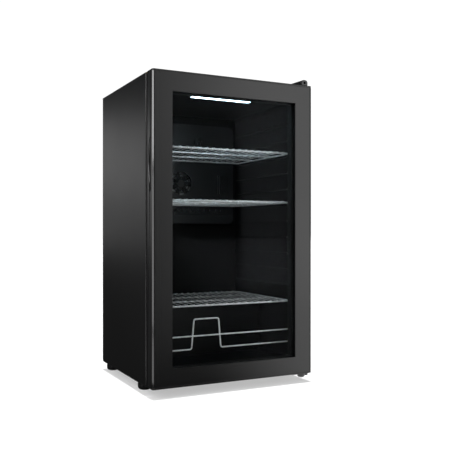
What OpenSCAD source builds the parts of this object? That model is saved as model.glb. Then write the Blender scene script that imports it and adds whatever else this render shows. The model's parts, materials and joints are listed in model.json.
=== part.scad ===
// Small glass-door drinks refrigerator with wire shelves and a rear wire condenser.
// Frame: X to the right, Y to the back, Z up. The origin is on the floor under the
// centre of the whole object.

/* [Cabinet] */
// Width of the cabinet and of the door
cab_w = 480; // [430:1:600]
// Height of the cabinet between its feet and its roof
cab_h = 816; // [760:1:1000]
// Depth of the cabinet behind the door
cab_d = 389; // [350:1:520]
// Thickness of the steel sheet
sheet_t = 1; // [0.6:0.1:1.5]
// Width of the folded edges of the side panels
flange_w = 15; // [11:1:18]
// Outer radius of the folds
fold_r = 3; // [2:0.5:5]
// Height of the roof panel's side lips
roof_lip = 4; // [3:0.5:8]
// Thickness of the base plate
base_t = 1.5; // [1:0.1:2.5]

/* [Insulation] */
// Thickness of each side wall
side_wall = 33; // [28:1:45]
// Thickness of the back wall
back_wall = 35; // [28:1:50]
// Thickness of the roof
roof_wall = 42; // [32:1:60]
// Thickness of the floor
floor_wall = 33; // [28:1:50]
// Thickness of the moulded liner
liner_t = 1.5; // [1:0.1:2.5]
// Radius of the liner's long corners
liner_r = 16; // [4:1:30]
// Height of the step over the compressor, above the inner floor
step_h = 157; // [140:1:166]
// Depth of the step over the compressor
step_d = 164; // [150:1:180]
// Thickness of the step's wall
step_wall = 26; // [20:1:28]

/* [Shelves] */
// Height of the lowest shelf rail above the inner floor
first_rail = 169; // [168:1:190]
// Distance from one shelf rail to the next
rail_pitch = 47.2; // [40:0.1:55]
// How far a shelf rail stands out of the wall
rail_d = 8; // [6:1:12]
// Height of a shelf rail
rail_h = 6; // [4:0.5:8]
// Radius of a shelf's frame wire
frame_wire_r = 2.5; // [2:0.1:3.5]
// Radius of a shelf's deck wires
deck_wire_r = 1.3; // [1:0.1:2]
// Distance from one deck wire to the next
deck_pitch = 20; // [14:1:30]
// Radius of the can guard's wire
guard_wire_r = 2; // [1.5:0.1:3]
// Height of the can guard's upper wire above the inner floor
guard_high = 87; // [70:1:100]
// Height of the can guard's lower wire above the inner floor
guard_low = 51; // [30:1:60]
// Height of the can guard's raised loop above the inner floor
guard_loop = 132; // [110:1:150]

/* [Door] */
// Thickness of the door
door_t = 42; // [36:1:60]
// Gap between the door and the cabinet that the gasket fills
door_gap = 9; // [7:0.5:14]
// Gap between the door and each hinge bracket
hinge_gap = 1; // [0.6:0.1:2]
// Width of the door's side borders beside the window
border_side = 54.5; // [48:0.5:80]
// Height of the door's border above the window
border_top = 53; // [48:1:80]
// Height of the door's border below the window
border_bottom = 49; // [46:1:80]
// Thickness of the door's front trim
trim_t = 1.5; // [1:0.1:2]
// Depth of the front trim's side returns
trim_return = 13; // [10:1:16]
// Radius of the door's vertical front edges
trim_r = 6; // [3:0.5:10]
// Height of the door's end caps
cap_h = 5.5; // [4:0.5:10]
// Recess of the glass behind the trim's face
glass_recess = 4.5; // [3:0.5:6]
// Thickness of each pane
pane_t = 3; // [3:0.5:4]
// Distance between the panes
pane_gap = 10; // [6:1:12]
// How far the panes reach behind the borders
pane_lap = 12; // [8:1:15]
// Thickness of the door's inner panel
inner_t = 4; // [2:0.5:6]
// Width of the gasket
gasket_w = 12; // [10:1:14]

/* [Handle] */
// Height of the handle pocket's lower end above the cabinet's bottom
pocket_z = 506; // [300:1:600]
// Length of the handle pocket
pocket_len = 138; // [110:1:180]
// Depth of the pocket's straight ends behind the trim's return
pocket_end = 10; // [8:0.5:12]
// How far the pocket's back edge bows past its ends
pocket_bow = 12; // [4:0.5:12]
// Depth of the pocket into the side of the door
pocket_deep = 24; // [18:1:30]

/* [Hinges and feet] */
// Distance from the hinge axis to the door's edge
axis_in = 21.5; // [14:0.5:22]
// Distance from the hinge axis to the door's face
axis_back = 22; // [18:0.5:26]
// Radius of the hinge pins
pin_r = 4; // [3:0.1:5]
// Wall of the hinge bushes
bush_wall = 4; // [2:0.5:5]
// Length of a hinge pin inside the door
pin_len = 12; // [9:1:20]
// Height of the feet
foot_h = 25; // [20:1:40]
// Radius of the feet
foot_r = 19; // [14:1:24]
// Radius of the feet's threaded studs
stud_r = 4; // [3:0.5:6]
// Travel of the front levelling feet
foot_travel = 10; // [6:1:14]

/* [Cooling] */
// Distance from the cabinet's back to the outside of the condenser
cond_off = 27; // [20:1:40]
// Radius of the condenser tube
cond_tube_r = 2.4; // [2:0.1:3.5]
// Radius of the condenser's wires
cond_wire_r = 0.9; // [0.7:0.1:1.5]
// Distance from one condenser pass to the next
cond_pitch = 54; // [40:1:70]
// Radius of the compressor's shell
comp_r = 66; // [50:1:70]
// Height of the compressor's shell
comp_h = 124; // [100:1:126]
// Depth of the evaporator cover
cover_d = 22; // [22:1:30]
// Width of the evaporator cover
cover_w = 374; // [330:1:376]
// Height of the evaporator cover
cover_h = 318; // [300:1:360]
// Distance from the ceiling to the evaporator cover
cover_drop = 29; // [20:1:40]
// Radius of the fan
fan_r = 38; // [30:1:42]

/* [Hidden] */
// clearances
run_gap = 0.05;      // between a pin and its bore
slip_gap = 0.3;      // between parts that are pushed together
fold_gap = 0.2;      // between a flat sheet and a folded corner
seal_gap = 0.3;      // between the gasket and the cabinet
eps = 0.5;           // overlap of shapes that are one solid
$fn = 48;

// main planes
x_side = cab_w / 2;
total_d = door_t + door_gap + cab_d + cond_off;
y_front = -total_d / 2;
y_door = y_front + door_t;
y_cab = y_door + door_gap;
y_back = y_cab + cab_d;
y_rear = y_back + cond_off;
z_base = foot_h;
z_roof = foot_h + cab_h;

// inside of the cabinet
in_x = x_side - side_wall;
in_y = y_back - back_wall;
in_z0 = z_base + floor_wall;
in_z1 = z_roof - roof_wall;
step_y = in_y - step_d;
step_z = in_z0 + step_h;
bay_y = step_y + liner_t + step_wall;
bay_z = step_z - liner_t - step_wall;
back_t = 0.8;
rear_flange = 12;
rear_bevel = 8;
back_screw_z = [bay_z + 20, (bay_z + z_roof) / 2, z_roof - 30];

// shelves
rail_head = 45;
rail_count = floor((in_z1 - in_z0 - first_rail - rail_head) / rail_pitch) + 1;
function rail_z(i) = in_z0 + first_rail + i * rail_pitch;
rail_y0 = y_cab + 16;
rail_y1 = in_y - 12;
cover_y = in_y - cover_d;
cover_z1 = in_z1 - cover_drop;
cover_z0 = cover_z1 - cover_h;
cover_t = 2;
cover_r = 18;
shelf_gap = 1.5;
shelf_x = in_x - shelf_gap - frame_wire_r;
shelf_y0 = y_cab + 6;
shelf_y1 = cover_y - 4 - frame_wire_r;
weld = 0.5;
top_rail = 9;
middle_rail = 6;
lower_rail = 0;

// can guard
guard_y = y_cab + 10;
guard_y2 = guard_y + 2 * guard_wire_r - weld;
loop_x = -60;
loop_w = 74;
loop_foot = 88;
socket_t = 3;

// door
door_z0 = z_base + hinge_gap;
door_z1 = z_roof - hinge_gap;
body_z0 = door_z0 + cap_h;
body_z1 = door_z1 - cap_h;
win_x = x_side - border_side;
win_z0 = door_z0 + border_bottom;
win_z1 = door_z1 - border_top;
pane_x = win_x + pane_lap;
pane_z0 = win_z0 - pane_lap;
pane_z1 = win_z1 + pane_lap;
pane_y1 = y_front + glass_recess;
pane_y2 = pane_y1 + pane_t + pane_gap;
pane_y3 = pane_y2 + pane_t;
inner_y = y_door - inner_t;
clamp_w = 4;
gasket_in = 2;
gasket_x = in_x + gasket_in + gasket_w;
gasket_z0 = in_z0 - gasket_in - gasket_w;
gasket_z1 = in_z1 + gasket_in + gasket_w;
gasket_wall = 2;
rear_edge_r = 3;

// handle pocket
pocket_y = y_front + trim_return;
pocket_z0 = z_base + pocket_z;
pocket_wall = 1.5;

// hinges
axis_x = x_side - axis_in;
axis_y = y_front + axis_back;
bush_r = pin_r + run_gap + bush_wall;
bracket_t = 2.5;
lower_t = 3;
cover_h_front = 15;
cover_h_rear = 9;
cover_nose = 20;
hinge_cover_w = 38;
hinge_cover_y0 = y_front + 3;
hinge_cover_y1 = y_cab + 48;
hinge_cover_x = axis_x - 5;
screw_r = 2.2;
screw_head_r = 4;
screw_head_h = 1.8;
screw_len = 12;
top_screws = [[hinge_cover_x - 7.5, y_cab + 18], [hinge_cover_x + 7.5, y_cab + 18],
        [hinge_cover_x, y_cab + 37]];
low_bracket_x0 = x_side - 56;
low_bracket_x1 = x_side - 2;
low_screws = [[low_bracket_x0 + 14, y_cab + 24], [low_bracket_x1 - 12, y_cab + 24]];
stop_r = 4.5;
stop_x = x_side - stop_r;
stop_h = 6;
lobe_h = 10;
lobe_r = 11;

// feet
foot_bulge = 9;
foot_x = x_side - 8 - foot_r;
foot_y0 = y_cab + 80;
foot_y1 = y_back - 4 - foot_r;
nut_h = 8;
stud_len = nut_h + foot_travel + 4;
foot_spots = [[-foot_x, foot_y0], [foot_x, foot_y0], [-foot_x, foot_y1], [foot_x, foot_y1]];

// condenser
cond_y = y_rear - 2 * cond_wire_r - cond_tube_r + 0.3;
cond_z0 = bay_z + 44;
cond_x = x_side - 44;
cond_count = 2 * floor((z_roof - 50 - cond_z0) / cond_pitch / 2) + 1;
cond_z1 = cond_z0 + (cond_count - 1) * cond_pitch;
cond_bend_r = cond_pitch / 2;
cond_wire_pitch = 15;
cond_wires = floor((cond_x - cond_bend_r) / cond_wire_pitch);
clip_i = cond_wires - 2;
clip_w = 9;
clip_h = 14;

// compressor bay
comp_x = -60;
comp_y = (bay_y + y_back) / 2 + 4;
comp_lift = 14;
comp_z = z_base + base_t + comp_lift;
comp_foot_x = comp_r + 14;
comp_foot_y = comp_r - 22;
comp_plate_t = 3;
grommet_r = 11;
comp_bolt_r = 3;
tray_z = comp_z + comp_h + 2;
tray_h = bay_z - tray_z - 2;
tray_x = 60;
tray_y = 50;
drain_y = comp_y + 22;
drain_r = 6;
relay_x0 = comp_x + comp_r + 4;
dryer_x = x_side - 52;
box_x0 = dryer_x - 92;
box_y1 = y_back - 22;

// fan and controls
fan_z = cover_z0 + 128;
fan_y0 = cover_y + cover_t + 0.3;
fan_t = 12;
fan_rim = 5;
fan_hub_r = 12;
shaft_r = 1.5;
control_x = 62;
control_z = cover_z1 - 55;
knob_r = 17;
knob_shaft_r = 3;
knob_h = 13;
rocker_r = 1.2;
rocker_tilt = 8;
rocker_y = cover_y + 1.5;

// lamp
lamp_y = y_cab + 36;
lamp_x = 92;
lamp_w = 40;
lamp_h = 13;
lamp_wall = 1.6;
lamp_recess = 11;
lamp_z1 = in_z1 + lamp_recess;
lamp_z0 = lamp_z1 - lamp_h;
lamp_corner = 5;

// ---- outlines and small helpers ----

// points of an arc about c from angle a0 to a1 in n steps
function arc(c, r, a0, a1, n = 6) =
    [for (i = [0:n]) let (a = a0 + (a1 - a0) * i / n) [c[0] + r * cos(a), c[1] + r * sin(a)]];

// rectangle from lo to hi with its four corners rounded
function round_rect(lo, hi, r) = concat(
    arc([lo[0] + r, lo[1] + r], r, 180, 270),
    arc([hi[0] - r, lo[1] + r], r, 270, 360),
    arc([hi[0] - r, hi[1] - r], r, 0, 90),
    arc([lo[0] + r, hi[1] - r], r, 90, 180));

// folded sheet: a web of the given length along the second axis, a flange at each end
function channel(len, f0, f1, t, r) = concat(
    [[f0, 0]], arc([r, r], r, 270, 180), arc([r, len - r], r, 180, 90), [[f1, len]],
    [[f1, len - t]], arc([r, len - r], r - t, 90, 180), arc([r, r], r - t, 180, 270), [[f0, t]]);

// draws an (x, z) outline between two depths
module along_y(y0, y1) {
    translate([0, y1, 0]) rotate([90, 0, 0]) linear_extrude(y1 - y0) children();
}

// draws a (y, z) outline between two x positions
module along_x(x0, x1) {
    translate([x0, 0, 0]) rotate([90, 0, 90]) linear_extrude(x1 - x0) children();
}

// box between two corners
module block(lo, hi) {
    translate(lo) cube(hi - lo);
}

// box between two corners with rounded vertical edges
module pillar(lo, hi, r) {
    translate([0, 0, lo[2]]) linear_extrude(hi[2] - lo[2])
        polygon(round_rect([lo[0], lo[1]], [hi[0], hi[1]], r));
}

// cylinder along Y from y0 to y1
module rod_y(x, z, y0, y1, r) {
    translate([x, y1, z]) rotate([90, 0, 0]) cylinder(h = y1 - y0, r = r);
}

// cylinder along X from x0 to x1
module rod_x(y, z, x0, x1, r) {
    translate([x0, y, z]) rotate([0, 90, 0]) cylinder(h = x1 - x0, r = r);
}

// cylinder along Z from z0 to z1
module rod_z(x, y, z0, z1, r) {
    translate([x, y, z0]) cylinder(h = z1 - z0, r = r);
}

// straight rod between two points
module rod(p, q, r) {
    d = q - p;
    len = norm(d);
    translate(p) rotate([0, acos(d[2] / len), atan2(d[1], d[0])]) cylinder(h = len, r = r);
}

// rod through a list of points; each stretch runs a little past its bends to fill the corner
module bent_rod(pts, r) {
    last = len(pts) - 2;
    for (i = [0:last]) {
        dir = (pts[i + 1] - pts[i]) / norm(pts[i + 1] - pts[i]);
        rod(pts[i] - dir * (i > 0 ? r * 0.6 : 0), pts[i + 1] + dir * (i < last ? r * 0.6 : 0), r);
    }
}

function unit(v) = v / norm(v);

// the points of a route with each bend rounded over a distance b on either side
function rounded(pts, b, n = 3) = concat([pts[0]], [
    for (i = [1:len(pts) - 2], k = [0:n])
        let (p = pts[i] + unit(pts[i - 1] - pts[i]) * b, q = pts[i] + unit(pts[i + 1] - pts[i]) * b,
                t = k / n)
        (1 - t) * (1 - t) * p + 2 * t * (1 - t) * pts[i] + t * t * q], [pts[len(pts) - 1]]);

// a side direction carried along a route's tangents without twist
function carried(ts, u, i = 0) =
    i == len(ts) ? [] : let (w = unit(u - ts[i] * (u * ts[i]))) concat([w], carried(ts, w, i + 1));

// bent pipe of radius r along a route
module pipe(route, r, bend = 9, sides = 8) {
    pts = rounded(route, bend);
    last = len(pts) - 1;
    ts = [for (i = [0:last]) unit(pts[min(i + 1, last)] - pts[max(i - 1, 0)])];
    us = carried(ts, abs(ts[0][2]) < 0.9 ? [0, 0, 1] : [1, 0, 0]);
    ring = [for (i = [0:last], k = [0:sides - 1])
        pts[i] + r * cos(k * 360 / sides) * us[i] + r * sin(k * 360 / sides) * cross(ts[i], us[i])];
    walls = [for (i = [0:last - 1], k = [0:sides - 1], half = [0, 1])
        let (a = i * sides + k, b = i * sides + (k + 1) % sides)
        half == 0 ? [a, a + sides, b + sides] : [a, b + sides, b]];
    polyhedron(ring, concat([[for (k = [0:sides - 1]) k]], walls,
            [[for (k = [sides - 1:-1:0]) last * sides + k]]));
}

// frame in the XZ plane: outer half width and heights, and the width of its bars
module xz_ring(x, z0, z1, bar, y0, y1) {
    difference() {
        block([-x, y0, z0], [x, y1, z1]);
        block([-x + bar, y0 - 1, z0 + bar], [x - bar, y1 + 1, z1 - bar]);
    }
}

// pan-head screw whose head sits on the plane z = 0 and whose shank points down
module screw(len = screw_len) {
    translate([0, 0, -len]) cylinder(h = len + 0.5, r = screw_r - 0.2);
    difference() {
        cylinder(h = screw_head_h, r = screw_head_r);
        for (a = [0, 90]) rotate([0, 0, a]) translate([-2.4, -0.5, 0.8]) cube([4.8, 1, 2]);
    }
}

// ---- cabinet shell ----

module side_panel_shape() {
    difference() {
        translate([-x_side, y_cab, z_base])
            linear_extrude(cab_h - roof_lip) polygon(channel(cab_d, flange_w, rear_flange, sheet_t, fold_r));
        along_x(-x_side - 1, -x_side + flange_w + 1)
            polygon([[y_back - rear_bevel, z_base - 1], [y_back + 1, z_base - 1],
                     [y_back + 1, z_base + rear_bevel], [y_back, z_base + rear_bevel],
                     [y_back - rear_bevel, z_base]]);
        for (z = back_screw_z) rod_y(-x_side + rear_flange / 2 + 1, z, y_back - 3, y_back + 1, screw_r);
    }
}

module side_panel_left() color("#202124") side_panel_shape();

module side_panel_right() color("#202124") mirror([1, 0, 0]) side_panel_shape();

module top_panel() color("#1a1b1d") {
    difference() {
        union() {
            along_y(y_cab, y_back)
                polygon([for (p = channel(cab_w, roof_lip, roof_lip, sheet_t, fold_r)) [p[1] - x_side,
                        z_roof - p[0]]]);
            block([-x_side + flange_w, y_cab, z_roof - flange_w],
                    [x_side - flange_w, y_cab + sheet_t, z_roof - eps]);
            block([-x_side + rear_flange, y_back - sheet_t, z_roof - rear_flange],
                  [x_side - rear_flange, y_back, z_roof - eps]);
        }
        for (p = top_screws) {
            rod_z(p[0], p[1], z_roof - 3, z_roof + 1, screw_r);
            rod_z(-p[0], p[1], z_roof - 3, z_roof + 1, screw_r);
        }
    }
}

module back_panel() color("#3a3b3d") {
    difference() {
        block([-x_side + fold_r + fold_gap, y_back - sheet_t - back_t, bay_z],
              [x_side - fold_r - fold_gap, y_back - sheet_t, z_roof - sheet_t]);
        for (s = [-1, 1], z = back_screw_z)
            rod_y(s * (x_side - rear_flange / 2 - 1), z, y_back - 4, y_back + 1, screw_r);
    }
}

module back_screws() color("silver") {
    for (s = [-1, 1], z = back_screw_z)
        translate([s * (x_side - rear_flange / 2 - 1), y_back, z]) rotate([-90, 0, 0]) screw();
}

module base_plate() color("#2b2c2e") {
    lip_top = in_z0 - liner_t - 12;
    difference() {
        union() {
            block([-x_side + sheet_t, y_cab + fold_r + fold_gap, z_base],
                  [x_side - sheet_t, y_back - rear_bevel, z_base + base_t]);
            block([-x_side + flange_w, y_cab, z_base],
                    [x_side - flange_w, y_cab + fold_r + 1, z_base + base_t]);
            block([-x_side + flange_w, y_cab, z_base], [x_side - flange_w, y_cab + base_t, lip_top]);
        }
        for (p = foot_spots) rod_z(p[0], p[1], z_base - 1, z_base + base_t + 1, stud_r + 0.4);
        for (p = low_screws) rod_z(p[0], p[1], z_base - 1, z_base + base_t + 1, screw_r);
        for (sx = [-1, 1], sy = [-1, 1])
            rod_z(comp_x + sx * comp_foot_x, comp_y + sy * comp_foot_y, z_base - 1, z_base + base_t + 1,
                    comp_bolt_r + 0.2);
    }
}

// inner space of the cabinet, grown outwards by t
module cavity(t) {
    intersection() {
        along_x(-in_x - t, in_x + t)
            polygon([[y_cab - (t > 0 ? 0 : 1), in_z0 - t], [step_y + t, in_z0 - t], [step_y + t, step_z - t],
                     [in_y + t, step_z - t], [in_y + t, in_z1 + t], [y_cab - (t > 0 ? 0 : 1), in_z1 + t]]);
        along_y(y_cab - 2, in_y + t + 1)
            polygon(round_rect([-in_x - t, in_z0 - t], [in_x + t, in_z1 + t], liner_r + t));
    }
}

// hole that the lamp's housing is pushed into
module lamp_hole(z0, z1) {
    half = lamp_w / 2 + slip_gap;
    pillar([-lamp_x - slip_gap, lamp_y - half, z0], [lamp_x + slip_gap, lamp_y + half, z1], lamp_corner);
}

module inner_liner() color("#101112") {
    difference() {
        union() {
            cavity(liner_t);
            block([-x_side + flange_w, y_cab, in_z0 - liner_t - 12],
                    [x_side - flange_w, y_cab + liner_t, z_roof - flange_w]);
        }
        cavity(0);
        lamp_hole(in_z1 - 1, lamp_z1);
        rod_z(comp_x, drain_y, step_z - liner_t - 1, step_z + 1, drain_r);
    }
    for (s = [-1, 1], i = [0:rail_count - 1])
        block([s > 0 ? in_x - rail_d : -in_x - eps, rail_y0, rail_z(i) - frame_wire_r - 0.1 - rail_h],
              [s > 0 ? in_x + eps : -in_x + rail_d, rail_y1, rail_z(i) - frame_wire_r - 0.1]);
}

module insulation_foam() color("#d9c99a") {
    difference() {
        block([-x_side + sheet_t, y_cab + liner_t, z_base + base_t],
              [x_side - sheet_t, y_back - sheet_t - back_t, z_roof - sheet_t]);
        cavity(liner_t);
        lamp_hole(in_z1, lamp_z1);
        block([-x_side - 1, bay_y, z_base], [x_side + 1, y_back + 1, bay_z]);
        for (s = [-1, 1]) rod_z(s * foot_x, foot_y0, z_base, z_base + base_t + stud_len, 11);
        rod_z(comp_x, drain_y, bay_z - 1, step_z, drain_r);
        // room for the lips and the folded corners of the shell
        for (s = [-1, 1]) along_y(y_cab, y_back)
            polygon([[s * (x_side - fold_r - 1), z_roof], [s * x_side, z_roof],
                     [s * x_side, z_roof - fold_r - 1]]);
        for (s = [-1, 1]) translate([0, 0, z_base]) linear_extrude(cab_h)
            polygon([[s * (x_side - fold_r - 1), y_cab], [s * x_side, y_cab],
                     [s * x_side, y_cab + fold_r + 1]]);
        for (s = [-1, 1]) translate([0, 0, z_base]) linear_extrude(cab_h)
            polygon([[s * (x_side - fold_r - 1), y_back - back_t], [s * x_side, y_back - back_t],
                     [s * x_side, y_back - back_t - fold_r - 2]]);
    }
}

// ---- cooling circuit ----

module condenser_tube() color("#1c1c1c") {
    for (i = [0:cond_count - 1])
        rod_x(cond_y, cond_z0 + i * cond_pitch, -cond_x + cond_bend_r, cond_x - cond_bend_r, cond_tube_r);
    for (i = [0:cond_count - 2]) {
        s = i % 2 == 0 ? 1 : -1;
        translate([s * (cond_x - cond_bend_r), cond_y, cond_z0 + (i + 0.5) * cond_pitch]) rotate([90, 0, 0])
            rotate([0, 0, s > 0 ? -90 : 90]) rotate_extrude(angle = 180) translate([cond_bend_r, 0])
                    circle(r = cond_tube_r);
    }
}

module condenser_wires() color("#1c1c1c") {
    for (i = [-cond_wires:cond_wires]) {
        s = i % 2 == 0 ? 1 : -1;
        rod_z(i * cond_wire_pitch, cond_y + s * (cond_tube_r + cond_wire_r - 0.3), cond_z0 - 12,
                cond_z1 + 12, cond_wire_r);
    }
}

module condenser_clips() color("#111111") {
    for (s = [-1, 1], i = [1, floor(cond_count / 2), cond_count - 2]) {
        x = s * (clip_i + 0.5) * cond_wire_pitch;
        z = cond_z0 + i * cond_pitch;
        difference() {
            block([x - clip_w / 2, y_back - sheet_t, z - clip_h / 2],
                    [x + clip_w / 2, cond_y + cond_tube_r + 1.2, z + clip_h / 2]);
            rod_x(cond_y, z, x - clip_w, x + clip_w, cond_tube_r + 0.05);
        }
    }
}

module compressor() color("#151515") {
    seam_z = 58;
    seam_h = 5;
    seam_r = comp_r + 3;
    shell = concat([[0, 0]], arc([comp_r - 22, 22], 22, 270, 360),
                   [[comp_r, seam_z], [seam_r, seam_z], [seam_r, seam_z + seam_h],
                    [comp_r, seam_z + seam_h]],
                   arc([comp_r - 40, comp_h - 40], 40, 0, 90), [[0, comp_h]]);
    difference() {
        union() {
            translate([comp_x, comp_y, comp_z]) rotate_extrude($fn = 72) polygon(shell);
            block([comp_x - comp_foot_x - 12, comp_y - comp_foot_y - 12, comp_z],
                  [comp_x + comp_foot_x + 12, comp_y + comp_foot_y + 12, comp_z + comp_plate_t]);
            rod_z(comp_x - 40, comp_y + 30, comp_z + 60, comp_z + comp_h - 4, 4);
        }
        for (sx = [-1, 1], sy = [-1, 1])
            rod_z(comp_x + sx * comp_foot_x, comp_y + sy * comp_foot_y, comp_z - 1,
                    comp_z + comp_plate_t + 1, 6);
    }
}

module compressor_grommets() color("#222222") {
    for (sx = [-1, 1], sy = [-1, 1])
        translate([comp_x + sx * comp_foot_x, comp_y + sy * comp_foot_y, z_base + base_t]) difference() {
            union() {
                cylinder(h = comp_lift, r = grommet_r);
                cylinder(h = comp_lift + comp_plate_t, r = 5.9);
            }
            translate([0, 0, -1]) cylinder(h = comp_lift + comp_plate_t + 2, r = comp_bolt_r + 0.2);
        }
}

module compressor_bolts() color("silver") {
    for (sx = [-1, 1], sy = [-1, 1])
        translate([comp_x + sx * comp_foot_x, comp_y + sy * comp_foot_y, z_base]) {
        translate([0, 0, -4]) cylinder(h = 4, r = 6, $fn = 6);
        cylinder(h = base_t + comp_lift + comp_plate_t + 6, r = comp_bolt_r);
        translate([0, 0, base_t + comp_lift + comp_plate_t]) cylinder(h = 1.2, r = 8);
        translate([0, 0, base_t + comp_lift + comp_plate_t + 1.2]) cylinder(h = 4, r = 5.5, $fn = 6);
    }
}

module relay_box() color("#1a1a1a") {
    pillar([relay_x0, comp_y - 24, comp_z + 12], [relay_x0 + 32, comp_y + 24, comp_z + 66], 5);
    block([relay_x0 + 8, comp_y - 18, comp_z + 66 - eps], [relay_x0 + 24, comp_y + 18, comp_z + 72]);
}

module copper_pipes() color("#b87333") {
    pipe_r = cond_tube_r - 0.2;
    left_x = comp_x - comp_r - 30;
    right_x = comp_x + comp_r + 50;
    up_x = x_side - 18;
    in_end = [-cond_x + cond_bend_r, cond_y, cond_z0];
    out_end = [cond_x - cond_bend_r, cond_y, cond_z1];
    dryer_top = [dryer_x, comp_y, comp_z + 118];
    capillary_y = comp_y - 30;
    // from the compressor to the condenser
    pipe([[comp_x - comp_r + 1, comp_y + 12, comp_z + 40], [left_x, comp_y + 12, comp_z + 40],
          [left_x, comp_y + 12, comp_z + 96], [-cond_x + 6, cond_y - 10, bay_z - 22],
          [-cond_x + 6, cond_y, cond_z0 - 20], in_end + [-21, 0, 0], in_end], pipe_r);
    // from the cold space back to the compressor
    front_y = comp_y - comp_r - 4;
    pipe([[comp_x + comp_r * 0.5, comp_y - comp_r * 0.8, comp_z + 34],
          [comp_x + comp_r, front_y, comp_z + 34], [right_x, front_y, comp_z + 34],
          [right_x, front_y, bay_z + 8]], cond_tube_r + 0.6, 12);
    // from the condenser to the filter dryer
    pipe([dryer_top, dryer_top + [0, 0, 16], [dryer_x + 8, y_back - 6, bay_z - 20],
          [up_x, cond_y - 10, bay_z - 18], [up_x, cond_y, bay_z + 30], [up_x, cond_y, cond_z1],
          out_end + [21, 0, 0], out_end], pipe_r, 8);
    // capillary from the filter dryer into the cold space
    pipe([[dryer_x, comp_y, comp_z + 26], [dryer_x, comp_y, comp_z + 10],
          [dryer_x - 30, capillary_y, comp_z + 10], [dryer_x - 30, capillary_y, bay_z + 6]], 1.2, 6);
}

module filter_dryer() color("#b87333") {
    translate([dryer_x, comp_y, comp_z + 26]) rotate_extrude()
        polygon([[0, 0], [3.2, 0], [3.2, 6], [10, 16], [10, 76], [3.2, 88], [3.2, 92], [0, 92]]);
}

module drip_tray() color("#2a2a2a") {
    difference() {
        pillar([comp_x - tray_x, comp_y - tray_y, tray_z],
                [comp_x + tray_x, comp_y + tray_y, tray_z + tray_h], 8);
        pillar([comp_x - tray_x + 1.5, comp_y - tray_y + 1.5, tray_z + 1.5],
               [comp_x + tray_x - 1.5, comp_y + tray_y - 1.5, tray_z + tray_h + 1], 6.5);
    }
}

module drain_tube() color("#444444") {
    difference() {
        rod_z(comp_x, drain_y, tray_z + 4, step_z, drain_r);
        rod_z(comp_x, drain_y, tray_z + 3, step_z + 1, drain_r - 1.5);
    }
}

module terminal_box() color("#1f1f1f") {
    difference() {
        pillar([box_x0, box_y1 - 44, z_base + base_t], [box_x0 + 54, box_y1, z_base + base_t + 46], 4);
        rod_y(box_x0 + 27, z_base + base_t + 26, box_y1 - 12, box_y1 + 1, 7);
    }
}

module cord_gland() color("#0d0d0d") {
    translate([box_x0 + 27, box_y1 - 12, z_base + base_t + 26]) rotate([-90, 0, 0]) difference() {
        rotate_extrude() polygon([[0, 0], [6.9, 0], [6.9, 12], [10, 12], [10, 17], [7.5, 26], [0, 26]]);
        translate([0, 0, 4]) cylinder(h = 30, r = 3.6);
    }
}

// ---- inside the cold space ----

module evaporator() color("#b8bcc0") {
    ex = cover_w / 2 - 37;
    ez0 = cover_z0 + 14;
    pitch = 34;
    block([-ex, in_y - 4.5, ez0], [ex, in_y - 3, ez0 + 176]);
    for (i = [0:4]) rod_x(in_y - 5.3, ez0 + 20 + i * pitch, -ex + 8, ex - 8, 2.2);
    for (i = [0:3]) rod_z((i % 2 == 0 ? 1 : -1) * (ex - 8), in_y - 5.3, ez0 + 20 + i * pitch,
            ez0 + 20 + (i + 1) * pitch, 2.1);
    for (sx = [-1, 1], z = [ez0 + 8, ez0 + 168]) rod_y(sx * (ex - 6), z, in_y - 4, in_y, 4);
}

module evaporator_cover() color("#232427") {
    groove_z = cover_z0 + 28;
    vent_z = cover_z0 + 43;
    vent_pitch = 20.5;
    vents = floor((cover_w / 2 - 30) / vent_pitch);
    difference() {
        along_y(cover_y, in_y) polygon(round_rect([-cover_w / 2, cover_z0], [cover_w / 2, cover_z1],
                cover_r));
        along_y(cover_y + cover_t, in_y + 1) polygon(round_rect([-cover_w / 2 + cover_t, cover_z0 + cover_t],
                                                            [cover_w / 2 - cover_t, cover_z1 - cover_t],
                                                                    cover_r - cover_t));
        block([-cover_w / 2 - 1, cover_y - 1, groove_z - 1.5],
                [cover_w / 2 + 1, cover_y + 0.8, groove_z + 1.5]);
        for (i = [-vents:vents]) rod_y(i * vent_pitch, vent_z, cover_y - 1, cover_y + cover_t + 1, 3.5);
        for (r = [12:9:fan_r - 3]) difference() {
            rod_y(0, fan_z, cover_y - 1, cover_y + cover_t + 1, r + 6);
            rod_y(0, fan_z, cover_y - 2, cover_y + cover_t + 2, r);
            for (a = [0:60:120]) translate([0, cover_y, fan_z]) rotate([0, a, 0])
                block([-fan_r - 8, -2, -1.5], [fan_r + 8, cover_t + 2, 1.5]);
        }
        rod_y(control_x, control_z, cover_y - 1, cover_y + cover_t + 1, knob_shaft_r + 1);
        block([-control_x - 10.5, cover_y - 1, control_z - 7.5],
                [-control_x + 10.5, cover_y + cover_t + 1, control_z + 7.5]);
        for (i = [-3:3]) block([-150 + i * 6, cover_y - 1, fan_z - 30],
                [-148 + i * 6, cover_y + cover_t + 1, fan_z + 30]);
        for (i = [-3:3]) block([148 + i * 6, cover_y - 1, fan_z - 30],
                [150 + i * 6, cover_y + cover_t + 1, fan_z + 30]);
    }
}

module fan_housing() color("#0f0f10") {
    half = fan_r + fan_rim;
    y1 = fan_y0 + fan_t;
    difference() {
        block([-half, fan_y0, fan_z - half], [half, y1, fan_z + half]);
        rod_y(0, fan_z, fan_y0 - 1, y1 + 1, fan_r + 1);
    }
    for (a = [90, 210, 330]) translate([0, y1, fan_z]) rotate([0, a, 0])
            block([4, -2, -2], [fan_r + 2.5, 0, 2]);
    rod_y(0, fan_z, y1 - 3, y1, fan_hub_r - 1);
    rod_y(0, fan_z, fan_y0 + 1, y1 - 2, shaft_r);
}

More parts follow.
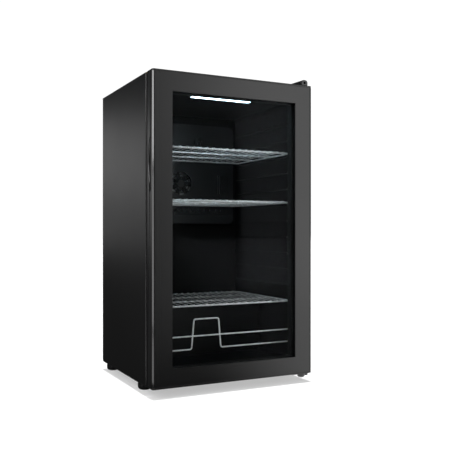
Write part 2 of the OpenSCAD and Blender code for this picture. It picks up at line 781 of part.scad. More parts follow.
module fan_blades() color("#17181a") {
    y0 = fan_y0 + 1.5;
    y1 = fan_y0 + fan_t - 3.5;
    blades = 7;
    difference() {
        union() {
            rod_y(0, fan_z, y0, y1, fan_hub_r);
            intersection() {
                for (i = [0:blades - 1]) translate([0, (y0 + y1) / 2, fan_z]) rotate([0, i * 360 / blades, 0])
                    rotate([32, 0, 0]) block([fan_hub_r - 2, -0.7, -9], [fan_r, 0.7, 9]);
                rod_y(0, fan_z, y0, y1, fan_r - 0.8);
            }
        }
        rod_y(0, fan_z, y0 - 1, y1 + 1, shaft_r + run_gap);
    }
}

module thermostat_body() color("#c9c9c4") {
    y0 = cover_y + cover_t + 0.3;
    block([control_x - 19, y0, control_z - 19], [control_x + 19, y0 + 15, control_z + 19]);
    rod_y(control_x, control_z, cover_y - knob_h + 3, y0 + eps, knob_shaft_r);
}

module thermostat_knob() color("#161719") {
    y1 = cover_y - 0.5;
    difference() {
        union() {
            rod_y(control_x, control_z, y1 - 4, y1, knob_r);
            rod_y(control_x, control_z, y1 - 6, y1 - 3, knob_r - 3);
            block([control_x - 3, y1 - knob_h, control_z - knob_r + 4],
                    [control_x + 3, y1 - 5, control_z + knob_r - 4]);
        }
        rod_y(control_x, control_z, y1 - knob_h + 2, y1 + 1, knob_shaft_r + run_gap);
        block([control_x - 0.6, y1 - knob_h - 1, control_z + 6],
                [control_x + 0.6, y1 - knob_h + 0.6, control_z + knob_r]);
    }
}

module switch_body() color("#101010") {
    difference() {
        union() {
            block([-control_x - 12.5, cover_y - 1.5, control_z - 9.5],
                    [-control_x + 12.5, cover_y, control_z + 9.5]);
            block([-control_x - 10.3, cover_y - eps, control_z - 7.3],
                    [-control_x + 10.3, cover_y + 14, control_z + 7.3]);
        }
        block([-control_x - 8.4, cover_y - 3, control_z - 5.6],
                [-control_x + 8.4, cover_y + 10, control_z + 5.6]);
        rod_x(rocker_y, control_z, -control_x - 9.6, -control_x + 9.6, rocker_r + run_gap);
    }
}

module switch_rocker() color("#b02020") {
    translate([-control_x, rocker_y, control_z]) {
        rod_x(0, 0, -9.3, 9.3, rocker_r);
        rotate([rocker_tilt, 0, 0]) along_x(-8, 8)
            polygon([[-3.6, -4.7], [-2.6, 0], [-3.6, 4.7], [0, 4.7], [3, 1.5], [3, -1.5], [0, -4.7]]);
    }
}

module lamp_housing() color("#e8e8e8") {
    difference() {
        pillar([-lamp_x, lamp_y - lamp_w / 2, lamp_z0], [lamp_x, lamp_y + lamp_w / 2, lamp_z1], lamp_corner);
        pillar([-lamp_x + lamp_wall, lamp_y - lamp_w / 2 + lamp_wall, lamp_z0 - 1],
               [lamp_x - lamp_wall, lamp_y + lamp_w / 2 - lamp_wall, lamp_z1 - lamp_wall],
                       lamp_corner - lamp_wall);
    }
}

module lamp_lens() color("#ffffff") {
    half = lamp_w / 2 - lamp_wall - slip_gap;
    sag = 2.5;
    bow = (half * half + sag * sag) / (2 * sag);
    reach = asin(half / bow);
    z_edge = lamp_z0 + 0.5;
    along_x(-lamp_x + lamp_wall + 4, lamp_x - lamp_wall - 4)
        polygon(concat([[lamp_y + half, z_edge + 2.5], [lamp_y - half, z_edge + 2.5]],
                       arc([lamp_y, z_edge + bow - sag], bow, 270 - reach, 270 + reach, 10)));
}

module led_board() color("#f4f4e8") {
    z1 = lamp_z1 - lamp_wall - 1.5;
    block([-lamp_x + 10, lamp_y - 8, z1 - 1.6], [lamp_x - 10, lamp_y + 8, z1]);
    for (i = [-5.5:5.5]) block([i * 13.5 - 2.5, lamp_y - 2.5, z1 - 2.6],
            [i * 13.5 + 2.5, lamp_y + 2.5, z1 - 1.6 + 0.2]);
    for (s = [-1, 1]) rod_z(s * (lamp_x - 18), lamp_y, z1 - 0.3, lamp_z1 - lamp_wall, 3);
}

// wire shelf whose frame wires lie at height z
module wire_shelf(z) {
    deck_z = z + frame_wire_r + deck_wire_r - weld;
    end_y = shelf_y0 - frame_wire_r - deck_wire_r + weld;
    lines = floor((shelf_x - 8) / deck_pitch);
    for (s = [-1, 1]) rod_y(s * shelf_x, z, shelf_y0 - frame_wire_r, shelf_y1 + frame_wire_r, frame_wire_r);
    for (y = [shelf_y0, shelf_y1]) rod_x(y, z, -shelf_x, shelf_x, frame_wire_r - 0.05);
    for (k = [1, 2]) rod_x(shelf_y0 + (shelf_y1 - shelf_y0) * k / 3, z, -shelf_x, shelf_x,
            frame_wire_r - 0.3);
    for (i = [-lines:lines]) {
        rod_y(i * deck_pitch, deck_z, end_y - deck_wire_r, shelf_y1 + 1, deck_wire_r);
        rod_z(i * deck_pitch, end_y, z - 1, deck_z + deck_wire_r * 0.6, deck_wire_r - 0.1);
    }
}

module shelf_top() color("#d8dadc") wire_shelf(rail_z(top_rail));

module shelf_middle() color("#d8dadc") wire_shelf(rail_z(middle_rail));

module shelf_lower() color("#d8dadc") wire_shelf(rail_z(lower_rail));

module can_guard() color("#f2f2f2") {
    end_x = in_x - 0.5;
    low = in_z0 + guard_low;
    high = in_z0 + guard_loop;
    rod_x(guard_y, in_z0 + guard_high, -end_x, end_x, guard_wire_r);
    bent_rod([[-end_x, guard_y2, low], [loop_x - loop_foot / 2, guard_y2, low],
              [loop_x - loop_w / 2, guard_y2, high], [loop_x + loop_w / 2, guard_y2, high],
              [loop_x + loop_foot / 2, guard_y2, low], [end_x, guard_y2, low]], guard_wire_r);
}

module guard_sockets() color("#1a1a1a") {
    for (s = [-1, 1], p = [[guard_y, in_z0 + guard_high], [guard_y2, in_z0 + guard_low]]) difference() {
        rod_x(p[0], p[1], s > 0 ? in_x - socket_t : -in_x, s > 0 ? in_x : -in_x + socket_t, guard_wire_r + 3);
        rod_x(p[0], p[1], s > 0 ? in_x - socket_t - 1 : -in_x - 1, s > 0 ? in_x + 1 : -in_x + socket_t + 1,
                guard_wire_r + 0.1);
    }
}

// ---- hinges, feet ----

module top_hinge_bracket() color("#3c3d40") {
    difference() {
        union() {
            block([hinge_cover_x - 12, y_cab + 12, z_roof],
                    [hinge_cover_x + 12, y_cab + 43, z_roof + bracket_t]);
            block([axis_x - 7, axis_y, z_roof], [axis_x + 7, y_cab + 14, z_roof + bracket_t]);
            rod_z(axis_x, axis_y, z_roof, z_roof + bracket_t, 8);
        }
        rod_z(axis_x, axis_y, z_roof - 1, z_roof + bracket_t + 1, pin_r + 0.02);
        for (p = top_screws) rod_z(p[0], p[1], z_roof - 1, z_roof + bracket_t + 1, screw_r);
    }
}

module bottom_hinge_bracket() color("#1b1b1c") {
    difference() {
        union() {
            block([low_bracket_x0, y_front + 12, z_base - lower_t], [low_bracket_x1, y_cab + 40, z_base]);
            translate([axis_x, axis_y, z_base - lower_t - lobe_h])
                rotate_extrude()
                    polygon([[0, 0], [lobe_r - 5, 0], [lobe_r - 2, 1.5], [lobe_r, 5],
                             [lobe_r, lobe_h + eps], [0, lobe_h + eps]]);
            rod_z(stop_x, axis_y, z_base - lower_t - stop_h, z_base - lower_t + eps, stop_r);
        }
        rod_z(axis_x, axis_y, z_base - lower_t, z_base + 1, pin_r + 0.02);
        for (p = low_screws) rod_z(p[0], p[1], z_base - lower_t - 1, z_base + 1, screw_r);
    }
}

module hinge_pins() color("#c8c8c8") {
    rod_z(axis_x, axis_y, door_z1 - pin_len, z_roof + bracket_t, pin_r);
    rod_z(axis_x, axis_y, z_base - lower_t, door_z0 + pin_len, pin_r);
}

module hinge_screws() color("#9a9a9a") {
    for (p = top_screws) translate([p[0], p[1], z_roof + bracket_t]) screw();
    for (p = low_screws) translate([p[0], p[1], z_base - lower_t]) mirror([0, 0, 1]) screw();
}

// outer form of the hinge cover, shrunk inwards by t
module cover_form(t) {
    nose = cover_nose;
    rise = cover_h_front - t;
    hull() {
        along_y(hinge_cover_y0 + t, hinge_cover_y0 + 26)
            polygon(concat([[axis_x - nose / 2 + t, z_roof], [axis_x + nose / 2 - t, z_roof]],
                           arc([axis_x + nose / 2 - 8, z_roof + rise - 8 + t], 8 - t, 0, 90),
                           arc([axis_x - nose / 2 + 8, z_roof + rise - 8 + t], 8 - t, 90, 180)));
        translate([0, 0, z_roof]) linear_extrude(cover_h_rear - t)
            polygon(round_rect([hinge_cover_x - hinge_cover_w / 2 + t, y_cab + 16],
                               [hinge_cover_x + hinge_cover_w / 2 - t, hinge_cover_y1 - t], 5 - t));
    }
}

module top_hinge_cover() color("#3a3b3e") {
    difference() {
        cover_form(0);
        translate([0, 0, -0.01]) cover_form(1.5);
        rod_y(axis_x, z_roof + 7, hinge_cover_y0 - 1, hinge_cover_y0 + 4, 3.2);
    }
}

module foot() {
    edge = foot_bulge;
    rotate_extrude()
        polygon(concat([[0, 0]], arc([foot_r - edge, edge], edge, 270, 360),
                       arc([foot_r - edge, foot_h - edge], edge, 0, 60), [[0, foot_h - 1]]));
    cylinder(h = foot_h, r = foot_r - edge);
    cylinder(h = foot_h + base_t + stud_len - foot_travel + 6, r = stud_r);
}

module front_foot_left() color("#121212") translate([-foot_x, foot_y0, 0]) foot();

module front_foot_right() color("#121212") translate([foot_x, foot_y0, 0]) foot();

module rear_feet() color("#121212") for (s = [-1, 1]) translate([s * foot_x, foot_y1, 0]) foot();

module foot_nuts() color("#9a9a9a") {
    for (p = foot_spots) translate([p[0], p[1], z_base + base_t]) difference() {
        cylinder(h = nut_h, r = stud_r * 1.9, $fn = 6);
        translate([0, 0, -1]) cylinder(h = nut_h + 2, r = stud_r + run_gap);
    }
}

module hole_plugs() color("#101010") {
    for (p = top_screws) {
        rod_z(-p[0], p[1], z_roof - 5, z_roof + eps, screw_r - 0.1);
        rod_z(-p[0], p[1], z_roof, z_roof + 1.2, 4.5);
    }
}

// ---- door ----

// outline of the door seen from above, shrunk inwards by t
function door_outline(t) = concat(
    arc([-x_side + trim_r, y_front + trim_r], trim_r - t, 180, 270),
    arc([x_side - trim_r, y_front + trim_r], trim_r - t, 270, 360),
    arc([x_side - rear_edge_r, y_door - rear_edge_r], max(rear_edge_r - t, 0.1), 0, 90, 3),
    arc([-x_side + rear_edge_r, y_door - rear_edge_r], max(rear_edge_r - t, 0.1), 90, 180, 3));

module door_trim() color("#2a2b2d") {
    difference() {
        translate([0, 0, body_z0]) linear_extrude(body_z1 - body_z0)
            polygon([for (p = channel(cab_w, trim_return, trim_return, trim_t, trim_r)) [p[1] - x_side,
                    y_front + p[0]]]);
        block([-win_x, y_front - 1, win_z0], [win_x, y_front + trim_t + 1, win_z1]);
    }
    difference() {
        block([-win_x - trim_t, y_front + trim_t - eps, win_z0 - trim_t],
              [win_x + trim_t, y_front + glass_recess - 0.1, win_z1 + trim_t]);
        block([-win_x, y_front - 1, win_z0], [win_x, y_front + glass_recess + 1, win_z1]);
    }
}

module door_frame() color("#1b1c1e") {
    gap = slip_gap + trim_t;
    difference() {
        union() {
            block([-x_side, y_front + trim_return + 0.2, body_z0], [x_side, inner_y, body_z1]);
            block([-x_side + gap, y_front + trim_r + 1, body_z0],
                    [x_side - gap, y_front + trim_return + 1, body_z1]);
            block([-x_side + trim_r + 1, y_front + gap, body_z0],
                    [x_side - trim_r - 1, y_front + trim_r + 2, body_z1]);
        }
        block([-pane_x - eps, y_front - 1, pane_z0 - eps], [pane_x + eps, y_door, pane_z1 + eps]);
        pocket_form(-0.1, pocket_deep);
        for (z = [door_z0 - 1, door_z1 - pin_len - 1])
            rod_z(axis_x, axis_y, z, z + pin_len + 2, bush_r + 0.02);
    }
}

module door_inner_panel() color("#141516") {
    edge = 3;
    difference() {
        block([-x_side + edge, inner_y, body_z0], [x_side - edge, y_door, body_z1]);
        block([-win_x, inner_y - 1, win_z0], [win_x, y_door + 1, win_z1]);
    }
    difference() {
        block([-win_x - clamp_w, pane_y3 + slip_gap, win_z0 - clamp_w],
                [win_x + clamp_w, inner_y + eps, win_z1 + clamp_w]);
        block([-win_x, pane_y3, win_z0], [win_x, inner_y + 1, win_z1]);
    }
}

module door_cap(z0, z1, bush_z0, bush_z1) {
    difference() {
        translate([0, 0, z0]) linear_extrude(z1 - z0) polygon(door_outline(0));
        rod_z(axis_x, axis_y, bush_z0, bush_z1, bush_r + 0.02);
    }
}

module door_cap_top() color("#0c0c0d") door_cap(body_z1, door_z1, body_z1 - 1, door_z1 + 1);

module door_cap_bottom() color("#0c0c0d") door_cap(door_z0, body_z0, door_z0 - 1, body_z0 + 1);

module pane(y0) {
    block([-pane_x, y0, pane_z0], [pane_x, y0 + pane_t, pane_z1]);
}

module glass_outer() color("#aab4b8", 0.25) pane(pane_y1);

module glass_inner() color("#aab4b8", 0.25) pane(pane_y2);

module glass_spacer() color("#8d9094") xz_ring(pane_x, pane_z0, pane_z1, 7, pane_y1 + pane_t, pane_y2);

module door_gasket() color("#0e0e0f") {
    y1 = y_cab - seal_gap;
    difference() {
        xz_ring(gasket_x, gasket_z0, gasket_z1, gasket_w, y_door, y1);
        xz_ring(gasket_x - gasket_wall, gasket_z0 + gasket_wall, gasket_z1 - gasket_wall,
                gasket_w - 2 * gasket_wall,
                y_door + gasket_wall, y1 - gasket_wall);
    }
}

module gasket_magnet() color("#3a2a20") {
    inset = gasket_wall + 1;
    xz_ring(gasket_x - inset, gasket_z0 + inset, gasket_z1 - inset, gasket_w - 2 * inset,
            y_door + gasket_wall + 1, y_cab - seal_gap - gasket_wall - 0.2);
}

// handle pocket: straight front edge and bowed back edge, shrunk inwards by t
module pocket_form(t, deep) {
    half = pocket_len / 2 - t;
    end = pocket_end - t;
    bow_r = (half * half + pocket_bow * pocket_bow) / (2 * pocket_bow);
    reach = asin(half / bow_r);
    mid_z = pocket_z0 + pocket_len / 2;
    y0 = pocket_y + 0.4 + t;
    along_x(-x_side - (t > 0 ? 1 : 0), -x_side + deep)
        polygon(concat([[y0, mid_z - half]],
                       arc([pocket_y + end + pocket_bow - bow_r, mid_z], bow_r, -reach, reach, 16),
                       [[y0, mid_z + half]]));
}

module handle_pocket() color("#2e2f31") {
    difference() {
        pocket_form(0, pocket_deep - 0.1);
        pocket_form(pocket_wall, pocket_deep - pocket_wall);
    }
}

module hinge_bushes() color("#e4e4dc") {
    difference() {
        union() {
            rod_z(axis_x, axis_y, z_base + 0.1, door_z0 + pin_len + 1, bush_r);
            rod_z(axis_x, axis_y, door_z1 - pin_len - 1, door_z1, bush_r);
        }
        rod_z(axis_x, axis_y, z_base, door_z0 + pin_len + 0.4, pin_r + run_gap);
        rod_z(axis_x, axis_y, door_z1 - pin_len - 0.4, door_z1 + 1, pin_r + run_gap);
    }
}

side_panel_left();
side_panel_right();
top_panel();
back_panel();
base_plate();
inner_liner();
insulation_foam();
back_screws();
condenser_tube();
condenser_wires();
condenser_clips();
compressor();
compressor_grommets();
compressor_bolts();
relay_box();
copper_pipes();
filter_dryer();
drip_tray();
drain_tube();
terminal_box();
cord_gland();
evaporator();
evaporator_cover();
fan_housing();
fan_blades();
thermostat_body();
thermostat_knob();
switch_body();
switch_rocker();
lamp_housing();
lamp_lens();
led_board();
shelf_top();
shelf_middle();
shelf_lower();
can_guard();
guard_sockets();
top_hinge_bracket();
bottom_hinge_bracket();
hinge_pins();
hinge_screws();
top_hinge_cover();
front_foot_left();
front_foot_right();
rear_feet();
foot_nuts();
hole_plugs();
door_trim();
door_frame();
door_inner_panel();
door_cap_top();
door_cap_bottom();
glass_outer();
glass_inner();
glass_spacer();
door_gasket();
gasket_magnet();
handle_pocket();
hinge_bushes();
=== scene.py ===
import json
import math
import bmesh
import bpy
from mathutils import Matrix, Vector


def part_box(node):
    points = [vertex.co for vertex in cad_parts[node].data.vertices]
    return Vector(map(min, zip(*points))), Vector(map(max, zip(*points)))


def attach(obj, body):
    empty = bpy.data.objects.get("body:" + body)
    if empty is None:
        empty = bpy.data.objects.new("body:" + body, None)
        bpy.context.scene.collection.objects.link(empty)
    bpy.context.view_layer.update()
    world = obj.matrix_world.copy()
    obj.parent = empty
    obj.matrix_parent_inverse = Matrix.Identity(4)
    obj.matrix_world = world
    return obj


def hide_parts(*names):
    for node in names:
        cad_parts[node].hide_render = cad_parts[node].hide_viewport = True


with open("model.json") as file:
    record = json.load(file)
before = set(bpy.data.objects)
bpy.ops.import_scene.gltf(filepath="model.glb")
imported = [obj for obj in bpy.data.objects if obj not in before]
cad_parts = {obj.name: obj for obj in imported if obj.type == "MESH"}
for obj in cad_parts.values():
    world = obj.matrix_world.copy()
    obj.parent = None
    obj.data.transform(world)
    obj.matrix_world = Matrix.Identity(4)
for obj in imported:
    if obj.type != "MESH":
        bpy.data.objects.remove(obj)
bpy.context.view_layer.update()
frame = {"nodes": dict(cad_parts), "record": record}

MM = 0.001
NODES = frame["nodes"]
RECORD = frame["record"]
BODIES = RECORD["behaviour"]["bodies"]
BODY_OF = {node: body for body, members in BODIES.items() for node in members}
SLOT_OF = {node: NODES[node].material_slots[0].name for node in NODES}

# ---- camera ----

cam_data = bpy.data.cameras.new("camera")
cam_data.sensor_width = 36
cam_data.lens = 53.92
cam_data.shift_y = 0.0134
camera = bpy.data.objects.new("camera", cam_data)
camera.location = (-0.8392, -1.8346, 0.4284)
camera.rotation_euler = (math.radians(90), 0, math.radians(-26.658))
bpy.context.scene.collection.objects.link(camera)
bpy.context.scene.camera = camera
bpy.context.scene.view_settings.view_transform = "Standard"


# ---- floor, world and lights ----

def node_of(tree, kind, **values):
    """Adds a shader node and sets its properties and, by name, its input values."""
    node = tree.nodes.new(kind)
    for key, value in values.items():
        if key in node.inputs:
            node.inputs[key].default_value = value
        else:
            setattr(node, key, value)
    return node


def softbox(name, place, target, width, height, radiance):
    """Adds a rectangular light of a given radiance that faces target and that the camera does not see."""
    data = bpy.data.lights.new(name, "AREA")
    data.shape = "RECTANGLE"
    data.size = width
    data.size_y = height
    data.energy = radiance * math.pi * width * height
    obj = bpy.data.objects.new(name, data)
    obj.location = place
    obj.rotation_euler = (Vector(target) - Vector(place)).to_track_quat("-Z", "Y").to_euler()
    obj.visible_camera = False
    bpy.context.scene.collection.objects.link(obj)


def studio():
    """White world, pale floor and soft lights.

    The camera sees a white world and a floor with a faint glow, which lightens the shadow on it. All other
    rays meet a dim world and a floor whose glow grows to the right, for the black panels to mirror.
    """
    world = bpy.data.worlds.new("studio")
    bpy.context.scene.world = world
    world.use_nodes = True
    tree = world.node_tree
    tree.nodes.clear()
    out = tree.nodes.new("ShaderNodeOutputWorld")
    mix = tree.nodes.new("ShaderNodeMixShader")
    dim = node_of(tree, "ShaderNodeBackground", Color=(0.9, 0.95, 1.0, 1), Strength=0.03)
    white = node_of(tree, "ShaderNodeBackground", Color=(1, 1, 1, 1), Strength=1.05)
    path = tree.nodes.new("ShaderNodeLightPath")
    tree.links.new(path.outputs["Is Camera Ray"], mix.inputs["Fac"])
    tree.links.new(dim.outputs[0], mix.inputs[1])
    tree.links.new(white.outputs[0], mix.inputs[2])
    tree.links.new(mix.outputs[0], out.inputs["Surface"])

    bpy.ops.mesh.primitive_plane_add(size=60, location=(0, 0, 0))
    floor = bpy.context.object
    floor.name = "studio_floor"
    mat = bpy.data.materials.new("studio_floor")
    mat.use_nodes = True
    tree = mat.node_tree
    tree.nodes.clear()
    out = tree.nodes.new("ShaderNodeOutputMaterial")
    mix = tree.nodes.new("ShaderNodeMixShader")
    pale = node_of(tree, "ShaderNodeBsdfDiffuse", Color=(0.52, 0.52, 0.52, 1))
    lift = node_of(tree, "ShaderNodeEmission", Color=(1, 1, 1, 1), Strength=0.45)
    lifted = tree.nodes.new("ShaderNodeAddShader")
    glow = node_of(tree, "ShaderNodeEmission", Color=(1, 1, 1, 1))
    where = tree.nodes.new("ShaderNodeTexCoord")
    split = tree.nodes.new("ShaderNodeSeparateXYZ")
    ahead = node_of(tree, "ShaderNodeMath", operation="MINIMUM")
    ahead.inputs[1].default_value = -0.2
    slant = node_of(tree, "ShaderNodeMath", operation="MULTIPLY_ADD")
    slant.inputs[1].default_value = 0.4
    across = {"From Min": -0.17, "From Max": 0.23, "To Min": 0.03, "To Max": 1.7}
    ramp = node_of(tree, "ShaderNodeMapRange", interpolation_type="SMOOTHSTEP", **across)
    path = tree.nodes.new("ShaderNodeLightPath")
    tree.links.new(where.outputs["Object"], split.inputs[0])
    tree.links.new(split.outputs["Y"], ahead.inputs[0])
    tree.links.new(ahead.outputs[0], slant.inputs[0])
    tree.links.new(split.outputs["X"], slant.inputs[2])
    tree.links.new(slant.outputs[0], ramp.inputs["Value"])
    tree.links.new(ramp.outputs[0], glow.inputs["Strength"])
    tree.links.new(path.outputs["Is Camera Ray"], mix.inputs["Fac"])
    tree.links.new(glow.outputs[0], mix.inputs[1])
    tree.links.new(pale.outputs[0], lifted.inputs[0])
    tree.links.new(lift.outputs[0], lifted.inputs[1])
    tree.links.new(lifted.outputs[0], mix.inputs[2])
    tree.links.new(mix.outputs[0], out.inputs["Surface"])
    floor.data.materials.append(mat)

    sun = bpy.data.lights.new("overhead", "SUN")
    sun.energy = 4.3
    sun.angle = math.radians(2.5)
    obj = bpy.data.objects.new("overhead", sun)
    obj.location = (0, 0, 4)
    bpy.context.scene.collection.objects.link(obj)

    aim = (0, -0.1, 0.45)
    softbox("front_right", (1.95, -2.35, 1.05), aim, 1.5, 2.1, 2.0)
    softbox("front_middle", (1.3, -2.9, 1.55), aim, 0.9, 1.3, 1.4)
    softbox("back_left", (-1.25, 2.4, 0.92), aim, 1.2, 0.5, 0.8)
    softbox("back_left_low", (-1.25, 2.4, 0.49), aim, 1.2, 0.34, 0.38)
    softbox("back_right", (1.3, 2.9, 1.1), aim, 1.0, 1.6, 1.2)
    corner = (-0.2375, -0.231, 0.6)
    softbox("edge_high", (-1.263, -0.629, 1.1), corner, 0.40, 0.8, 9.0)
    softbox("edge_low", (-1.263, -0.629, 0.36), corner, 0.40, 0.66, 3.4)
    softbox("edge_floor", (-0.75, -0.43, 0.012), (-0.75, -0.43, 1), 0.9, 0.3, 2.6)
    softbox("camera_side", (-1.0, -2.4, 1.5), aim, 1.2, 1.2, 3.0)


# ---- materials ----

def material(name, dark, light, rough, swing=0.05, metallic=0.0, coat=0.0, patch=7.0, grain=0.0, bump=0.2,
             cell=False, stretch=(1, 1, 1), ior=1.5, side_band=None):
    """A Principled material whose colour, roughness and grain vary over the surface.

    The colour goes from dark to light and the roughness from rough - swing to rough + swing, in clouds of
    scale patch. side_band gives two distances from the middle of the object, in metres: between them lie a
    rougher strip, for a groove, and a glossier strip, for a chamfer.
    """
    mat = bpy.data.materials.new(name)
    mat.use_nodes = True
    tree = mat.node_tree
    link = tree.links.new
    shader = tree.nodes["Principled BSDF"]
    shader.inputs["Metallic"].default_value = metallic
    shader.inputs["Coat Weight"].default_value = coat
    shader.inputs["Coat Roughness"].default_value = 0.1
    shader.inputs["IOR"].default_value = ior
    where = tree.nodes.new("ShaderNodeTexCoord")
    place = node_of(tree, "ShaderNodeMapping", Scale=stretch)
    link(where.outputs["Object"], place.inputs["Vector"])
    cloud = node_of(tree, "ShaderNodeTexNoise", Scale=patch, Detail=4.0, Roughness=0.6)
    link(place.outputs[0], cloud.inputs["Vector"])
    ramp = tree.nodes.new("ShaderNodeValToRGB")
    ramp.color_ramp.elements[0].position = 0.3
    ramp.color_ramp.elements[0].color = (*dark, 1)
    ramp.color_ramp.elements[1].position = 0.7
    ramp.color_ramp.elements[1].color = (*light, 1)
    link(cloud.outputs["Fac"], ramp.inputs["Fac"])
    link(ramp.outputs["Color"], shader.inputs["Base Color"])
    spread = {"From Min": 0.25, "From Max": 0.75, "To Min": max(rough - swing, 0.01), "To Max": rough + swing}
    shade = node_of(tree, "ShaderNodeMapRange", **spread)
    link(cloud.outputs["Fac"], shade.inputs["Value"])
    if side_band is None:
        link(shade.outputs[0], shader.inputs["Roughness"])
    else:
        # The zones hold a third of each factor, because a colour ramp stops at 1.
        split = tree.nodes.new("ShaderNodeSeparateXYZ")
        away = node_of(tree, "ShaderNodeMath", operation="ABSOLUTE")
        span = {"From Min": side_band[0], "From Max": side_band[1]}
        band = node_of(tree, "ShaderNodeMapRange", **span)
        zones = tree.nodes.new("ShaderNodeValToRGB")
        zones.color_ramp.interpolation = "CONSTANT"
        zones.color_ramp.elements[0].color = (0.333, 0.333, 0.333, 1)
        zones.color_ramp.elements[1].position = 0.97
        zones.color_ramp.elements[1].color = (0.333, 0.333, 0.333, 1)
        for position, value in ((0.04, 1.0), (0.45, 0.12)):
            zones.color_ramp.elements.new(position).color = (value, value, value, 1)
        product = node_of(tree, "ShaderNodeMath", operation="MULTIPLY")
        tripled = node_of(tree, "ShaderNodeMath", operation="MULTIPLY", use_clamp=True)
        tripled.inputs[1].default_value = 3.0
        link(where.outputs["Object"], split.inputs[0])
        link(split.outputs["X"], away.inputs[0])
        link(away.outputs[0], band.inputs["Value"])
        link(band.outputs[0], zones.inputs["Fac"])
        link(shade.outputs[0], product.inputs[0])
        link(zones.outputs["Color"], product.inputs[1])
        link(product.outputs[0], tripled.inputs[0])
        link(tripled.outputs[0], shader.inputs["Roughness"])
    if grain:
        kind = "ShaderNodeTexVoronoi" if cell else "ShaderNodeTexNoise"
        fine = node_of(tree, kind, Scale=grain)
        link(place.outputs[0], fine.inputs["Vector"])
        bumps = node_of(tree, "ShaderNodeBump", Strength=bump, Distance=0.0004)
        link(fine.outputs[0], bumps.inputs["Height"])
        link(bumps.outputs[0], shader.inputs["Normal"])
    return mat


def clear_pane(name):
    """Clear glass that passes light, with a weak mirror on it that grows at the rim of the view."""
    mat = bpy.data.materials.new(name)
    mat.use_nodes = True
    tree = mat.node_tree
    tree.nodes.clear()
    out = tree.nodes.new("ShaderNodeOutputMaterial")
    mix = tree.nodes.new("ShaderNodeMixShader")
    clear = node_of(tree, "ShaderNodeBsdfTransparent", Color=(0.965, 0.972, 0.972, 1))
    gloss = node_of(tree, "ShaderNodeBsdfGlossy", Color=(0.9, 0.95, 1.0, 1))
    film = tree.nodes.new("ShaderNodeTexCoord")
    smear = node_of(tree, "ShaderNodeTexNoise", Scale=9.0, Detail=3.0)
    edge = node_of(tree, "ShaderNodeFresnel", IOR=1.06)
    spread = {"From Min": 0.3, "From Max": 0.7, "To Min": 0.02, "To Max": 0.05}
    rough = node_of(tree, "ShaderNodeMapRange", **spread)
    tree.links.new(film.outputs["Object"], smear.inputs["Vector"])
    tree.links.new(smear.outputs["Fac"], rough.inputs["Value"])
    tree.links.new(rough.outputs[0], gloss.inputs["Roughness"])
    tree.links.new(edge.outputs[0], mix.inputs["Fac"])
    tree.links.new(clear.outputs[0], mix.inputs[1])
    tree.links.new(gloss.outputs[0], mix.inputs[2])
    tree.links.new(mix.outputs[0], out.inputs["Surface"])
    return mat


def lit_lens(name):
    """A frosted lens with a bluish white light in it."""
    mat = material(name, (0.75, 0.85, 0.95), (0.85, 0.93, 1.0), 0.35, grain=300)
    shader = mat.node_tree.nodes["Principled BSDF"]
    shader.inputs["Emission Color"].default_value = (0.62, 0.86, 1.0, 1)
    shader.inputs["Emission Strength"].default_value = 13.0
    return mat


def grey(level):
    """A nearly neutral colour, with a trace of blue."""
    return (level, level, level * 1.04)


